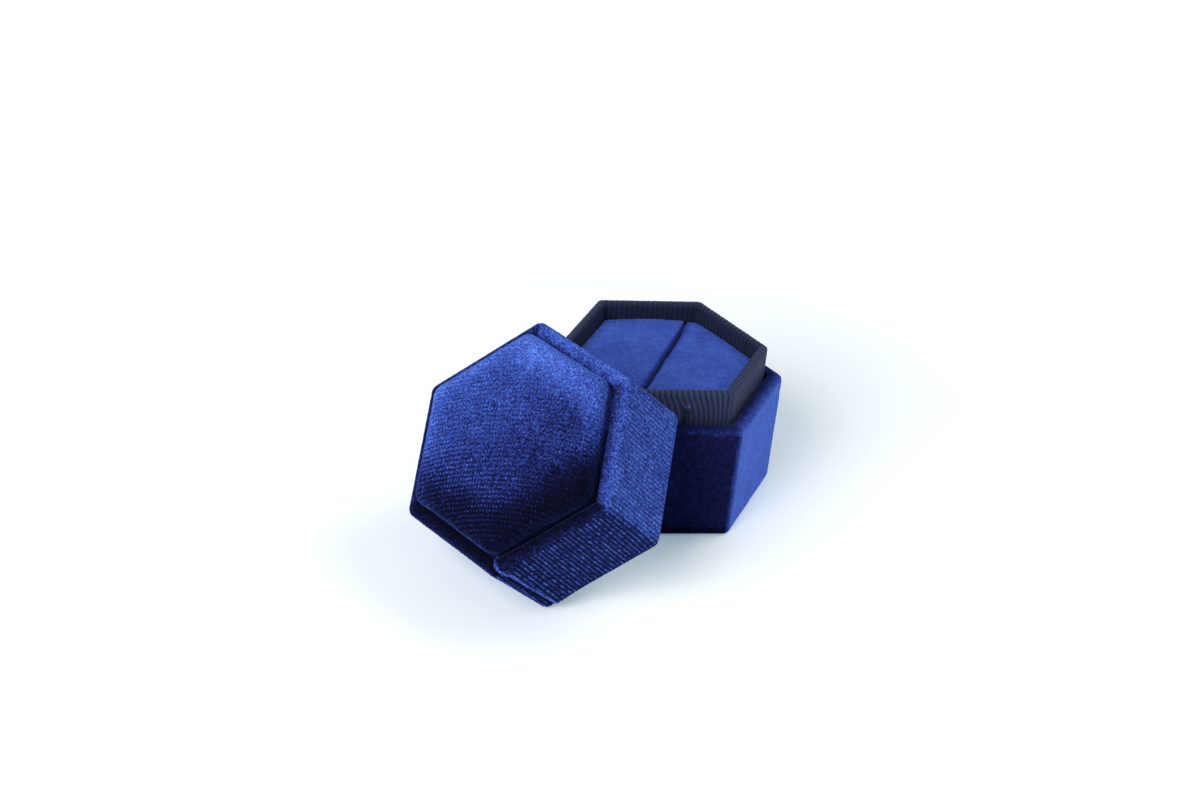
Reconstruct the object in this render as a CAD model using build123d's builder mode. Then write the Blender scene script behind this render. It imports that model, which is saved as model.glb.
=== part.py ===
"""Hexagonal velvet ring box with its lid taken off, in millimetres, +Z up.

The base stands on z = 0 with its axis on Z and two of its flats parallel to X. The lid's pieces are
drawn as the lid sits when it is closed, with its open rim on z = 0, and are then leaned on the collar.
"""

import math
import os

from build123d import *

# Overall sizes, over the velvet
across_flats = 48.5
base_wall_height = 26.9
lid_height = 22.3
collar_rise = 7.4

# Thicknesses of the sheets
board_thickness = 2.0
collar_board_thickness = 1.2
card_thickness = 0.8
velvet_thickness = 0.8
pressed_velvet = 0.5
ribbon_thickness = 0.45

# Clearances
lid_clearance = 0.5
panel_clearance = 0.15
butt_gap = 0.3
lean_gap = 0.1
overrun = 5.0

# Roundings
corner_radius = 2.0
roll_radius = 1.2
lining_roll_radius = 0.85
lining_corner_radius = 0.6
ribbon_corner_radius = 1.4
ribbon_edge_radius = 0.7

# How far cloth and ribbon are turned in out of sight
base_turn_in = 12.0
foot_turn_in = 3.0
face_turn_in = 3.6
panel_turn_in = 4.0
ribbon_tuck = 4.0
ribbon_turn_in = 9.0

# Lap at the corner where the ends of a velvet band meet
lap_length = 9.0
lap_rise = 0.8
lap_edge_radius = 0.6
lap_end_inset = 0.4
lid_lap_angle = 300.0
base_lap_angle = 120.0

# Padded face of the lid
face_board_drop = 3.0
face_hold = 2.0
face_waist_drop = 0.3
face_waist_inset = 0.5
face_bulge_rise = 0.8
face_bulge = 0.2
face_rise = 3.2
face_crown = 1.2
face_edge_radius = 1.9
face_corner_radius = 2.5

# Ring pads
pad_depth = 4.0
pad_crown = 0.6
pad_edge_radius = 1.1
pad_corner_radius = 1.6
slot_width = 0.5
slot_angle = 60.0

# How the lid leans on the collar
lean_yaw = -55.95
lean_side = 11.9
lean_contact_share = 0.33
lean_corner_angle = 240.0

# Distances of the layers from the box's axis, measured to a flat
velvet_apothem = across_flats / 2
board_apothem = velvet_apothem - velvet_thickness
board_inner_apothem = board_apothem - board_thickness
lining_apothem = board_inner_apothem - pressed_velvet
ribbon_apothem = lining_apothem - lid_clearance
collar_board_apothem = ribbon_apothem - ribbon_thickness
collar_inner_apothem = collar_board_apothem - collar_board_thickness
ribbon_inner_apothem = collar_inner_apothem - ribbon_thickness
panel_apothem = lining_apothem - panel_clearance
panel_board_apothem = panel_apothem - pressed_velvet
pad_apothem = ribbon_inner_apothem - panel_clearance
face_waist_apothem = panel_apothem - face_waist_inset
face_bulge_apothem = panel_apothem + face_bulge

# Heights in the base
floor_board_top = velvet_thickness + board_thickness
collar_foot = floor_board_top + pressed_velvet
tray_top = collar_foot + card_thickness
collar_top = base_wall_height + collar_rise
collar_board_top = collar_top - ribbon_thickness
pad_edge_height = collar_top - pad_depth

# Heights in the lid, from its open rim
face_edge_height = lid_height + face_rise
face_foam_edge_height = face_edge_height - velvet_thickness
face_hold_height = lid_height - face_hold
face_waist_height = lid_height - face_waist_drop
face_bulge_height = lid_height + face_bulge_rise
top_board_top = lid_height - face_board_drop
top_board_bottom = top_board_top - board_thickness
liner_top = top_board_bottom - pressed_velvet
liner_card_bottom = liner_top - card_thickness
liner_bottom = liner_card_bottom - pressed_velvet

hexagon_sides = 6
side_turn = 360 / hexagon_sides
corner_per_flat = 1 / math.cos(math.radians(side_turn / 2))

os.makedirs("parts", exist_ok=True)


def hexagon(apothem, corner):
    """Hexagon with flats front and back and rounded corners."""
    with BuildSketch(Plane.XY) as outline:
        RegularPolygon(apothem, hexagon_sides, major_radius=False)
        fillet(outline.vertices(), corner)
    return outline.sketch


def folded_strip(bottom, top, outer, outer_corner, inner, seam_angle):
    """Strip of board folded into a hexagonal tube, its two ends butted at one corner."""
    with BuildPart() as strip:
        with BuildSketch(Plane.XY.offset(bottom)):
            add(hexagon(outer, outer_corner))
            add(hexagon(inner, lining_corner_radius), mode=Mode.SUBTRACT)
        extrude(amount=top - bottom)
        with BuildSketch(Plane.XY.offset(bottom - overrun).rotated((0, 0, seam_angle))):
            Rectangle(across_flats, butt_gap, align=(Align.MIN, Align.CENTER))
        extrude(amount=top - bottom + 2 * overrun, mode=Mode.SUBTRACT)
    return strip.part


def lapped_end(height, seam_angle):
    """Folded end of a velvet band, standing proud of the band's other end at a corner."""
    corner = Vector(velvet_apothem * corner_per_flat, 0, lap_end_inset).rotate(Axis.Z, seam_angle)
    along = Vector(1, 0, 0).rotate(Axis.Z, seam_angle + 2 * side_turn)
    with BuildPart() as end:
        with BuildSketch(Plane(corner, x_dir=along, z_dir=(0, 0, 1))) as wedge:
            with BuildLine():
                Polyline(
                    (0, velvet_thickness),
                    (0, -lap_rise),
                    (lap_length, 0),
                    (lap_length, velvet_thickness),
                    close=True,
                )
            make_face()
            fillet(wedge.vertices().sort_by(Axis.Y)[0], lap_edge_radius)
        extrude(amount=height - 2 * lap_end_inset)
    return end.part


def wall_velvet(height, lower_turn_in, upper_turn_in, seam_angle, open_below):
    """Band of velvet round a wall, rolled over both rims and turned in behind them.

    A rim that a panel closes from below keeps a square inner edge.
    """
    with BuildPart() as band:
        with BuildSketch():
            add(hexagon(velvet_apothem, corner_radius))
        extrude(amount=height)
        fillet(band.faces().filter_by(Axis.Z).edges(), roll_radius)
        with BuildSketch(Plane.XY.offset(-overrun)):
            add(hexagon(lining_apothem, lining_corner_radius))
        extrude(amount=height + 2 * overrun, mode=Mode.SUBTRACT)
        rims = band.faces().filter_by(Axis.Z).sort_by(Axis.Z)
        rolled = rims if open_below else rims[-1:]
        fillet([edge for rim in rolled for edge in rim.inner_wires()[0].edges()], lining_roll_radius)
        with BuildSketch(Plane.XY.offset(velvet_thickness)):
            add(hexagon(board_apothem, corner_radius - velvet_thickness))
            add(hexagon(board_inner_apothem, lining_corner_radius), mode=Mode.SUBTRACT)
        extrude(amount=height - 2 * velvet_thickness, mode=Mode.SUBTRACT)
        with BuildSketch(Plane.XY.offset(lower_turn_in)):
            add(hexagon(board_inner_apothem, lining_corner_radius))
        extrude(amount=height - lower_turn_in - upper_turn_in, mode=Mode.SUBTRACT)
        add(lapped_end(height, seam_angle))
    return band.part


def crowned_face(foot, low_inset, inset, edge_height):
    """Hexagonal pad held straight in the wall, drawn in at the rim, then swelling to a crowned top.

    It is drawn inset from the pad's skin: by one distance where the wall presses it, by the other above.
    """
    held = panel_apothem - low_inset
    waist = face_waist_apothem - inset
    widest = face_bulge_apothem - inset
    with BuildPart() as pad:
        with BuildSketch(Plane.XY.offset(foot)):
            add(hexagon(widest, face_corner_radius - inset))
        extrude(amount=edge_height + face_crown - foot)
        for pair in range(hexagon_sides // 2):
            facing = Vector(0, 1, 0).rotate(Axis.Z, pair * side_turn)
            with BuildSketch(Plane((0, 0, 0), x_dir=facing, z_dir=facing.cross(Vector(0, 0, 1)))) as profile:
                with BuildLine():
                    ThreePointArc((-widest, edge_height), (0, edge_height + face_crown), (widest, edge_height))
                    Polyline(
                        (widest, edge_height),
                        (widest, face_bulge_height),
                        (waist, face_waist_height),
                        (held, face_hold_height),
                        (held, foot),
                        (-held, foot),
                        (-held, face_hold_height),
                        (-waist, face_waist_height),
                        (-widest, face_bulge_height),
                        (-widest, edge_height),
                    )
                make_face()
                fillet(profile.vertices().group_by(Axis.Y)[-1], face_edge_radius - inset)
            extrude(amount=across_flats, both=True, mode=Mode.INTERSECT)
    return pad.part


def ring_pad(turn, inset):
    """Half hexagon with a crowned top, on one side of the ring slot, drawn inset from the pad's skin."""
    near = slot_width / 2 + inset
    far = pad_apothem - inset
    edge_height = pad_edge_height - inset
    top_height = edge_height + pad_crown
    edge_radius = pad_edge_radius - inset
    across = Plane.XY.rotated((0, 0, turn))
    with BuildPart() as pad:
        with BuildSketch(across.offset(tray_top)) as outline:
            RegularPolygon(far, hexagon_sides, major_radius=False)
            with Locations((0, near)):
                Rectangle(
                    2 * across_flats,
                    across_flats,
                    align=(Align.CENTER, Align.MIN),
                    mode=Mode.INTERSECT,
                )
            fillet(outline.vertices(), pad_corner_radius - inset)
        extrude(amount=collar_top - tray_top)
        with BuildSketch(Plane((0, 0, 0), x_dir=across.y_dir, z_dir=across.x_dir)) as crown:
            with BuildLine():
                ThreePointArc((near, edge_height), ((near + far) / 2, top_height), (far, edge_height))
                Polyline((far, edge_height), (far, tray_top), (near, tray_top), (near, edge_height))
            make_face()
            fillet(crown.vertices().group_by(Axis.Y)[-1], edge_radius)
        extrude(amount=across_flats, both=True, mode=Mode.INTERSECT)
        for side in (-side_turn, side_turn):
            facing = across.y_dir.rotate(Axis.Z, side)
            with BuildSketch(Plane((0, 0, 0), x_dir=facing, z_dir=facing.cross(Vector(0, 0, 1)))) as end:
                with BuildLine():
                    Polyline(
                        (far, tray_top),
                        (far, top_height),
                        (-across_flats, top_height),
                        (-across_flats, tray_top),
                        close=True,
                    )
                make_face()
                fillet(end.vertices().group_by(Axis.Y)[-1].sort_by(Axis.X)[-1], edge_radius)
            extrude(amount=across_flats, both=True, mode=Mode.INTERSECT)
    return pad.part


# Base wall
with BuildPart() as base_wall_board:
    add(
        folded_strip(
            velvet_thickness,
            base_wall_height - velvet_thickness,
            board_apothem,
            corner_radius - velvet_thickness,
            board_inner_apothem,
            base_lap_angle,
        )
    )
base_wall_board.part.label = "base_wall_board"

with BuildPart() as base_wall_velvet:
    add(wall_velvet(base_wall_height, foot_turn_in, base_turn_in, base_lap_angle, False))
base_wall_velvet.part.label = "base_wall_velvet"

# Base floor, a board wrapped in velvet
with BuildPart() as base_floor_board:
    with BuildSketch(Plane.XY.offset(velvet_thickness)):
        add(hexagon(panel_board_apothem, lining_corner_radius))
    extrude(amount=board_thickness)
base_floor_board.part.label = "base_floor_board"

with BuildPart() as base_floor_velvet:
    with BuildSketch():
        add(hexagon(panel_apothem, lining_corner_radius + pressed_velvet))
    extrude(amount=collar_foot)
    add(base_floor_board.part, mode=Mode.SUBTRACT)
    with BuildSketch(Plane.XY.offset(floor_board_top)):
        add(hexagon(panel_apothem - panel_turn_in, lining_corner_radius))
    extrude(amount=pressed_velvet, mode=Mode.SUBTRACT)
base_floor_velvet.part.label = "base_floor_velvet"

# Collar that the lid slides over
with BuildPart() as collar_board:
    add(
        folded_strip(
            collar_foot,
            collar_board_top,
            collar_board_apothem,
            ribbon_corner_radius - ribbon_thickness,
            collar_inner_apothem,
            lean_corner_angle,
        )
    )
collar_board.part.label = "collar_board"

with BuildPart() as collar_ribbon:
    with BuildSketch(Plane.XY.offset(base_wall_height - ribbon_tuck)):
        add(hexagon(ribbon_apothem, ribbon_corner_radius))
        add(hexagon(collar_board_apothem, ribbon_corner_radius - ribbon_thickness), mode=Mode.SUBTRACT)
    extrude(amount=ribbon_tuck + collar_rise)
    with BuildSketch(Plane.XY.offset(collar_top - ribbon_turn_in)):
        add(hexagon(collar_inner_apothem, lining_corner_radius))
        add(hexagon(ribbon_inner_apothem, lining_corner_radius), mode=Mode.SUBTRACT)
    extrude(amount=ribbon_turn_in)
    with BuildSketch(Plane.XY.offset(collar_board_top)):
        add(hexagon(ribbon_apothem, ribbon_corner_radius))
        add(hexagon(ribbon_inner_apothem, lining_corner_radius), mode=Mode.SUBTRACT)
    extrude(amount=ribbon_thickness)
    fillet(collar_ribbon.faces().sort_by(Axis.Z)[-1].edges(), ribbon_edge_radius)
collar_ribbon.part.label = "collar_ribbon"

# Ring pads and the card that they stand on
with BuildPart() as pad_tray_card:
    with BuildSketch(Plane.XY.offset(collar_foot)):
        add(hexagon(collar_inner_apothem - panel_clearance, lining_corner_radius))
    extrude(amount=card_thickness)
pad_tray_card.part.label = "pad_tray_card"

with BuildPart() as left_pad_foam:
    add(ring_pad(slot_angle, velvet_thickness))
left_pad_foam.part.label = "left_pad_foam"

with BuildPart() as left_pad_velvet:
    add(ring_pad(slot_angle, 0))
    add(left_pad_foam.part, mode=Mode.SUBTRACT)
left_pad_velvet.part.label = "left_pad_velvet"

with BuildPart() as right_pad_foam:
    add(ring_pad(slot_angle + 180, velvet_thickness))
right_pad_foam.part.label = "right_pad_foam"

with BuildPart() as right_pad_velvet:
    add(ring_pad(slot_angle + 180, 0))
    add(right_pad_foam.part, mode=Mode.SUBTRACT)
right_pad_velvet.part.label = "right_pad_velvet"

# Lid wall
with BuildPart() as lid_wall_board:
    add(
        folded_strip(
            velvet_thickness,
            lid_height - velvet_thickness,
            board_apothem,
            corner_radius - velvet_thickness,
            board_inner_apothem,
            lid_lap_angle,
        )
    )
lid_wall_board.part.label = "lid_wall_board"

with BuildPart() as lid_wall_velvet:
    add(wall_velvet(lid_height, liner_top, face_turn_in, lid_lap_angle, True))
lid_wall_velvet.part.label = "lid_wall_velvet"

# Padded face of the lid
with BuildPart() as lid_face_board:
    with BuildSketch(Plane.XY.offset(top_board_bottom)):
        add(hexagon(panel_board_apothem, face_corner_radius - pressed_velvet))
    extrude(amount=board_thickness)
lid_face_board.part.label = "lid_face_board"

with BuildPart() as lid_face_foam:
    add(crowned_face(top_board_top, pressed_velvet, velvet_thickness, face_foam_edge_height))
lid_face_foam.part.label = "lid_face_foam"

with BuildPart() as lid_face_velvet:
    add(crowned_face(liner_top, 0, 0, face_edge_height))
    add(lid_face_foam.part, mode=Mode.SUBTRACT)
    add(lid_face_board.part, mode=Mode.SUBTRACT)
    with BuildSketch(Plane.XY.offset(liner_top)):
        add(hexagon(panel_apothem - panel_turn_in, lining_corner_radius))
    extrude(amount=pressed_velvet, mode=Mode.SUBTRACT)
lid_face_velvet.part.label = "lid_face_velvet"

# Lining under the lid's face
with BuildPart() as lid_liner_card:
    with BuildSketch(Plane.XY.offset(liner_card_bottom)):
        add(hexagon(panel_board_apothem, lining_corner_radius))
    extrude(amount=card_thickness)
lid_liner_card.part.label = "lid_liner_card"

with BuildPart() as lid_liner_velvet:
    with BuildSketch(Plane.XY.offset(liner_bottom)):
        add(hexagon(panel_apothem, lining_corner_radius))
    extrude(amount=liner_top - liner_bottom)
    add(lid_liner_card.part, mode=Mode.SUBTRACT)
lid_liner_velvet.part.label = "lid_liner_velvet"

# The lid stands on one side of its rim and leans on a corner of the collar's top
yaw = math.radians(lean_yaw)
contact_apothem = lining_apothem + lean_contact_share * (velvet_apothem - lining_apothem)
tilt = math.asin(collar_top / (velvet_apothem + contact_apothem))
rim_side = Vector(math.cos(yaw), math.sin(yaw), 0)
towards_base = Vector(-math.sin(yaw), math.cos(yaw), 0)
face_normal = Vector(0, 0, math.cos(tilt)) - towards_base * math.sin(tilt)
leaning = Plane((0, 0, 0), x_dir=rim_side, z_dir=face_normal)
lowest = lid_wall_velvet.part.moved(Location(leaning)).bounding_box().min.Z
collar_corner = Vector(ribbon_apothem * corner_per_flat, 0, collar_top).rotate(Axis.Z, lean_corner_angle)
approach = -(lean_gap + face_normal.dot(collar_corner) + lowest * math.cos(tilt)) / math.sin(tilt)
lean = Location(
    Plane(
        rim_side * lean_side + towards_base * approach - Vector(0, 0, lowest),
        x_dir=rim_side,
        z_dir=face_normal,
    )
)

for piece in (
    base_wall_board,
    base_wall_velvet,
    base_floor_board,
    base_floor_velvet,
    collar_board,
    collar_ribbon,
    pad_tray_card,
    left_pad_foam,
    left_pad_velvet,
    right_pad_foam,
    right_pad_velvet,
):
    export_step(piece.part, f"parts/{piece.part.label}.step")

for piece in (
    lid_wall_board,
    lid_wall_velvet,
    lid_face_board,
    lid_face_foam,
    lid_face_velvet,
    lid_liner_card,
    lid_liner_velvet,
):
    export_step(piece.part.moved(lean), f"parts/{piece.part.label}.step")
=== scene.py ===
"""Velvet ring box: its cloth, ribbon and pads, their finishes, the light and the camera.

Pieces are drawn in millimetres, and the stage is in metres. The six flats are numbered anticlockwise from
the one that faces 30 degrees from +X, and each corner goes with the flat before it. A path across a wall or
a panel is a row of pairs: the distance from the axis to a flat, and the height.
"""

import itertools
import math

import bmesh
import bpy
import numpy as np
from mathutils import Matrix, Vector

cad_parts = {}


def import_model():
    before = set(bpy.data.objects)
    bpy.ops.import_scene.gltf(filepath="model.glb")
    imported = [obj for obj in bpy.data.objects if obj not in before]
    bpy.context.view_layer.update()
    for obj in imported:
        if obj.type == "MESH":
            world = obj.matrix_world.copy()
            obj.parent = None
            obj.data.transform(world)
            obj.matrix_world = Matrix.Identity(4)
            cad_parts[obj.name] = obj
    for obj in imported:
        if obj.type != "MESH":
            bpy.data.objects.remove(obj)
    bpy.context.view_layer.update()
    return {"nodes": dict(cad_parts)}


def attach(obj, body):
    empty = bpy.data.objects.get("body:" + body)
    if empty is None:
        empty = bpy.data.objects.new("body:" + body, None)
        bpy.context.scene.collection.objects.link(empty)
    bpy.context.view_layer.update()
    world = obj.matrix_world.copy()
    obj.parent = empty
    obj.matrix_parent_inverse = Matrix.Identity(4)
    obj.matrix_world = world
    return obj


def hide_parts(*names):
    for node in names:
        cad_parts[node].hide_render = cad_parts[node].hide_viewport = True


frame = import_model()

MM = 0.001
SIDES = 6
TURN = math.radians(60)
HALF_TURN = TURN / 2
TAN_HALF = math.tan(HALF_TURN)
FRONT = 4
TOLERANCE = 1e-6
HERE = Matrix.Identity(4)

# Distances from the axis to the flats of each layer
VELVET, BOARD, BOARD_INNER, LINING = 24.25, 23.45, 21.45, 20.95
RIBBON, COLLAR_BOARD, COLLAR_INNER, RIBBON_INNER = 20.45, 20.0, 18.8, 18.35
PANEL, PANEL_BOARD, FACE_WAIST, FACE_BULGE = 20.8, 20.3, 20.3, 21.0

# Heights: in the base from the floor, and in the lid from its open rim
FLOOR_TOP, BASE_WALL, COLLAR_TOP, PAD_EDGE = 3.3, 26.9, 34.3, 30.3
LID, LINER_TOP, LINER_BOTTOM = 22.3, 16.8, 15.5
FACE_HOLD, FACE_WAIST_HEIGHT, FACE_BULGE_HEIGHT, FACE_EDGE, FACE_TOP = 20.3, 22.0, 23.1, 25.5, 26.7

LID_ORIGIN = Vector((-23.4201, -30.1892, 17.8136)) * MM
LID_YAW, LID_TILT = math.radians(-55.95), math.radians(47.8164)


def lid_matrix():
    """Places what is drawn round the lid's own axis where the lid leans."""
    along = Vector((math.cos(LID_YAW), math.sin(LID_YAW), 0))
    inward = Vector((-math.sin(LID_YAW), math.cos(LID_YAW), 0))
    normal = Vector((0, 0, math.cos(LID_TILT))) - inward * math.sin(LID_TILT)
    turn = Matrix((along, normal.cross(along), normal)).transposed().to_4x4()
    return Matrix.Translation(LID_ORIGIN) @ turn


LEAN = lid_matrix()

# Numbers along cloth and surfaces


def noise3(points, seed):
    """Smooth lattice noise from -1 to 1 at each of the points."""
    cell = np.floor(points).astype(np.int64)
    part = points - cell
    ease = part * part * (3 - 2 * part)
    total = np.zeros(points.shape[:-1])
    for corner in itertools.product((0, 1), repeat=3):
        at = cell + np.array(corner)
        mixed = at[..., 0] * 374761393 + at[..., 1] * 668265263 + at[..., 2] * 974711 + seed * 83492791
        mixed = ((mixed ^ (mixed >> 13)) * 1274126177) & 0xFFFFFFFF
        mixed = ((mixed ^ (mixed >> 15)) * 2246822519) & 0xFFFFFFFF
        value = (mixed ^ (mixed >> 16)) / 0x7FFFFFFF - 1
        total += np.prod(np.where(corner, ease, 1 - ease), axis=-1) * value
    return total


def smooth(low, high, value):
    """0 at low, 1 at high, an easy curve between and level beyond. Low may be the larger number."""
    share = np.clip((value - low) / (high - low), 0, 1)
    return share * share * (3 - 2 * share)


def bell(value, width):
    """1 at zero, falling away to both sides."""
    return np.exp(-((value / width) ** 2))


def pile(cloth, seed, depth=None):
    """Coarse and fine tufts. Flat cloth has a depth of 1: its third number only tells it from other cloth."""
    coarse, fine = ((grain, grain, depth or grain) for grain in (1.5, 2.9))
    return 0.6 * noise3(cloth * coarse, seed) + 0.4 * noise3(cloth * fine, seed + 1)


def flat_cloth(across, along, seed):
    """Places on flat cloth, with the seed as their third number."""
    return np.stack(np.broadcast_arrays(across, along, np.full((1, 1), float(seed))), -1)


class Round:
    """Places round a hexagon with rounded corners, spaced along its outline."""

    def __init__(self, apothem, radius, step, fine=None):
        """Fine gives some flats a step of their own, with one for the corner after them."""
        flat, place, angle, distance = [], [], [], []
        start = 0.0
        length = 2 * (apothem - radius) * TAN_HALF
        bend = radius * TURN
        for k in range(SIDES):
            facing = HALF_TURN + k * TURN
            spacing, corner_spacing = (fine or {}).get(k, (step, step))
            n = max(2, round(length / spacing))
            m = max(5, round(bend / corner_spacing))
            share, bends = np.arange(n) / n, np.arange(m)
            flat += [k] * (n + m)
            place += list(2 * share - 1) + [1.0] * m
            angle += [facing] * n + list(facing + TURN * bends / m)
            distance += list(start + length * share) + list(start + length + bend * bends / m)
            start += length + bend
        self.flat, self.place = np.array(flat), np.array(place)
        self.angle, self.distance, self.length = np.array(angle), np.array(distance), start
        self.facing = HALF_TURN + self.flat * TURN
        self.bent = self.place > 1 - TOLERANCE
        self.outward = np.stack([np.cos(self.angle), np.sin(self.angle)], -1)
        self.along = np.stack([-np.sin(self.facing), np.cos(self.facing)], -1)
        centre = np.stack([np.cos(self.facing), np.sin(self.facing)], -1)
        self.core = centre + self.along * self.place[:, None] * TAN_HALF

    def on_flat(self, k):
        return (self.flat == k) & (self.angle < self.facing + TOLERANCE)

    def blend(self, values, drift=0.0):
        """One value for each flat, blended round the corners and, by the drift, a little along the flats."""
        into_corner = (self.angle - self.facing) / TURN
        angle = self.angle + drift * TURN * (self.place - 2 * into_corner)
        return np.interp(angle, HALF_TURN + TURN * np.arange(SIDES), values, period=SIDES * TURN)

    def surface(self, path, radii, lift=None):
        """Points of the path carried round the hexagon, lifted off it along its own normal."""
        apothem, height = path[:, 0], path[:, 1]
        points = np.zeros((len(path), len(self.flat), 3))
        points[..., :2] = (apothem - radii)[:, None, None] * self.core + radii[:, None, None] * self.outward
        points[..., 2] = height[:, None]
        if lift is not None:
            along = np.gradient(path, axis=0)
            along /= np.linalg.norm(along, axis=1, keepdims=True)
            points[..., :2] += (lift * along[:, 1, None])[..., None] * -self.outward
            points[..., 2] += lift * along[:, 0, None]
        return points


def rounded_path(corners, radii, steps, bend_step=0.25):
    """Points on a line through the corners, each rounded to its radius, with each run divided by its step."""
    corners = [np.array(c, float) for c in corners]
    found, spans = [corners[0]], []
    for before, corner, after, radius, step in zip(corners, corners[1:], corners[2:], radii, steps):
        into = (corner - before) / np.linalg.norm(corner - before)
        out = (after - corner) / np.linalg.norm(after - corner)
        turn = math.acos(np.clip(into @ out, -1, 1))
        side = np.sign(into[0] * out[1] - into[1] * out[0])
        left = np.array([-into[1], into[0]]) * side
        centre = corner - into * radius * math.tan(turn / 2) + left * radius
        shares = np.linspace(0, 1, max(4, math.ceil(radius * turn / bend_step) + 1))
        found += [centre + radius * (into * math.sin(s * turn) - left * math.cos(s * turn)) for s in shares]
        spans += [step] + [bend_step] * (len(shares) - 1)
    found.append(corners[-1])
    spans.append(steps[-1])
    dense = [found[0]]
    for a, b, step in zip(found, found[1:], spans):
        parts = max(1, math.ceil(np.linalg.norm(b - a) / step - TOLERANCE))
        dense += [a + (b - a) * i / parts for i in range(1, parts + 1)]
    return np.array(dense)


def path_lengths(path):
    return np.concatenate([[0], np.cumsum(np.linalg.norm(np.diff(path, axis=0), axis=1))])


# Meshes


def link(made):
    bpy.context.scene.collection.objects.link(made)
    return made


def new_object(name, points, faces, place=HERE):
    mesh = bpy.data.meshes.new(name)
    mesh.from_pydata((points * MM).tolist(), [], faces)
    mesh.transform(place)
    mesh.shade_smooth()
    return link(bpy.data.objects.new(name, mesh))


def points_of(mesh):
    found = np.zeros(len(mesh.vertices) * 3, np.float32)
    mesh.vertices.foreach_get("co", found)
    return found.reshape(-1, 3).astype(float)


def normals_of(mesh):
    found = np.zeros(len(mesh.vertices) * 3, np.float32)
    mesh.vertex_normals.foreach_get("vector", found)
    return found.reshape(-1, 3).astype(float)


def move_points(made, points):
    made.data.vertices.foreach_set("co", (points * MM).astype(np.float32).ravel())
    made.data.update()


def ring_faces(rows, columns, close_rows):
    """Quads of a grid that closes round its columns, and round its rows too if asked."""
    down = np.arange(rows if close_rows else rows - 1)
    across = np.arange(columns)
    upper, lower = down[:, None] * columns, ((down + 1) % rows)[:, None] * columns
    after = (across + 1) % columns
    quads = np.stack([upper + across, upper + after, lower + after, lower + across], -1)
    return quads.reshape(-1, 4).tolist()


def set_values(made, domain="POINT", **values):
    """Stores numbers or vectors that the materials read, one for each point or face corner."""
    for name, value in values.items():
        kind, field = ("FLOAT_VECTOR", "vector") if value.shape[-1] == 3 else ("FLOAT", "value")
        attribute = made.data.attributes.new(name, kind, domain)
        attribute.data.foreach_set(field, np.ascontiguousarray(value, np.float32).ravel())


def cloth_corners(around, run, extra_rows, seed):
    """Distance round and along the cloth at each face corner of a closed band, in step across the join."""
    turn = np.append(around.distance, around.length)
    along = np.concatenate([run, np.full(extra_rows, run[-1]), run[:1]])
    rows, columns = len(along) - 1, len(turn) - 1
    corners = np.full((rows, columns, 4, 3), float(seed))
    corners[..., [0, 3], 0], corners[..., [1, 2], 0] = turn[None, :-1, None], turn[None, 1:, None]
    corners[..., [0, 1], 1], corners[..., [2, 3], 1] = along[:-1, None, None], along[1:, None, None]
    return corners.reshape(-1, 3)


# Materials


def nodes_of(name):
    material = bpy.data.materials.new(name)
    material.use_nodes = True
    tree = material.node_tree
    return material, tree, tree.nodes["Principled BSDF"]


def set_inputs(node, values):
    for name, value in values.items():
        node.inputs[name].default_value = value


def add(tree, kind, inputs=None, **settings):
    """A node with its settings and inputs; an input is a value or another node's output."""
    node = tree.nodes.new(kind)
    for key, value in settings.items():
        setattr(node, key, value)
    for key, value in (inputs or {}).items():
        if isinstance(value, bpy.types.NodeSocket):
            tree.links.new(value, node.inputs[key])
        else:
            node.inputs[key].default_value = value
    return node


def math_node(tree, operation, *values):
    return add(tree, "ShaderNodeMath", dict(enumerate(values)), operation=operation).outputs[0]


def stored(tree, name, output="Fac"):
    """What set_values keeps on the mesh under the name."""
    return add(tree, "ShaderNodeAttribute", attribute_name=name).outputs[output]


def noise(tree, place, scale, detail, roughness=0.5):
    inputs = {"Vector": place, "Scale": scale, "Detail": detail, "Roughness": roughness}
    return add(tree, "ShaderNodeTexNoise", inputs).outputs["Fac"]


def centred(tree, value, strength):
    """A value from 0 to 1 as a change of the given strength, up and down."""
    return math_node(tree, "MULTIPLY_ADD", value, strength, -0.5 * strength)


def ramp(tree, factor, stops):
    node = add(tree, "ShaderNodeValToRGB", {"Fac": factor})
    elements = node.color_ramp.elements
    while len(elements) < len(stops):
        elements.new(0.5)
    for element, (position, colour) in zip(elements, stops):
        element.position, element.color = position, (*colour, 1)
    return node.outputs["Color"]


def finish_shader(tree, shader, colour, height, bump, depth, values):
    """Sets the shader's colour, its relief of the given depth, and the values that are the same all over."""
    tree.links.new(colour, shader.inputs["Base Color"])
    relief = add(tree, "ShaderNodeBump", {"Height": height, "Strength": bump, "Distance": depth * MM})
    tree.links.new(relief.outputs["Normal"], shader.inputs["Normal"])
    set_inputs(shader, values)


KNIT_ROW, KNIT_STITCH, KNIT_SWAY, KNIT_SHADE = 1.0, 0.8, 0.5, 0.2
BLUE = [
    (0.0, (0.0021, 0.0023, 0.0090)),
    (0.3, (0.0086, 0.0118, 0.076)),
    (0.6, (0.037, 0.073, 0.37)),
    (1.0, (0.130, 0.265, 0.93)),
]


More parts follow.
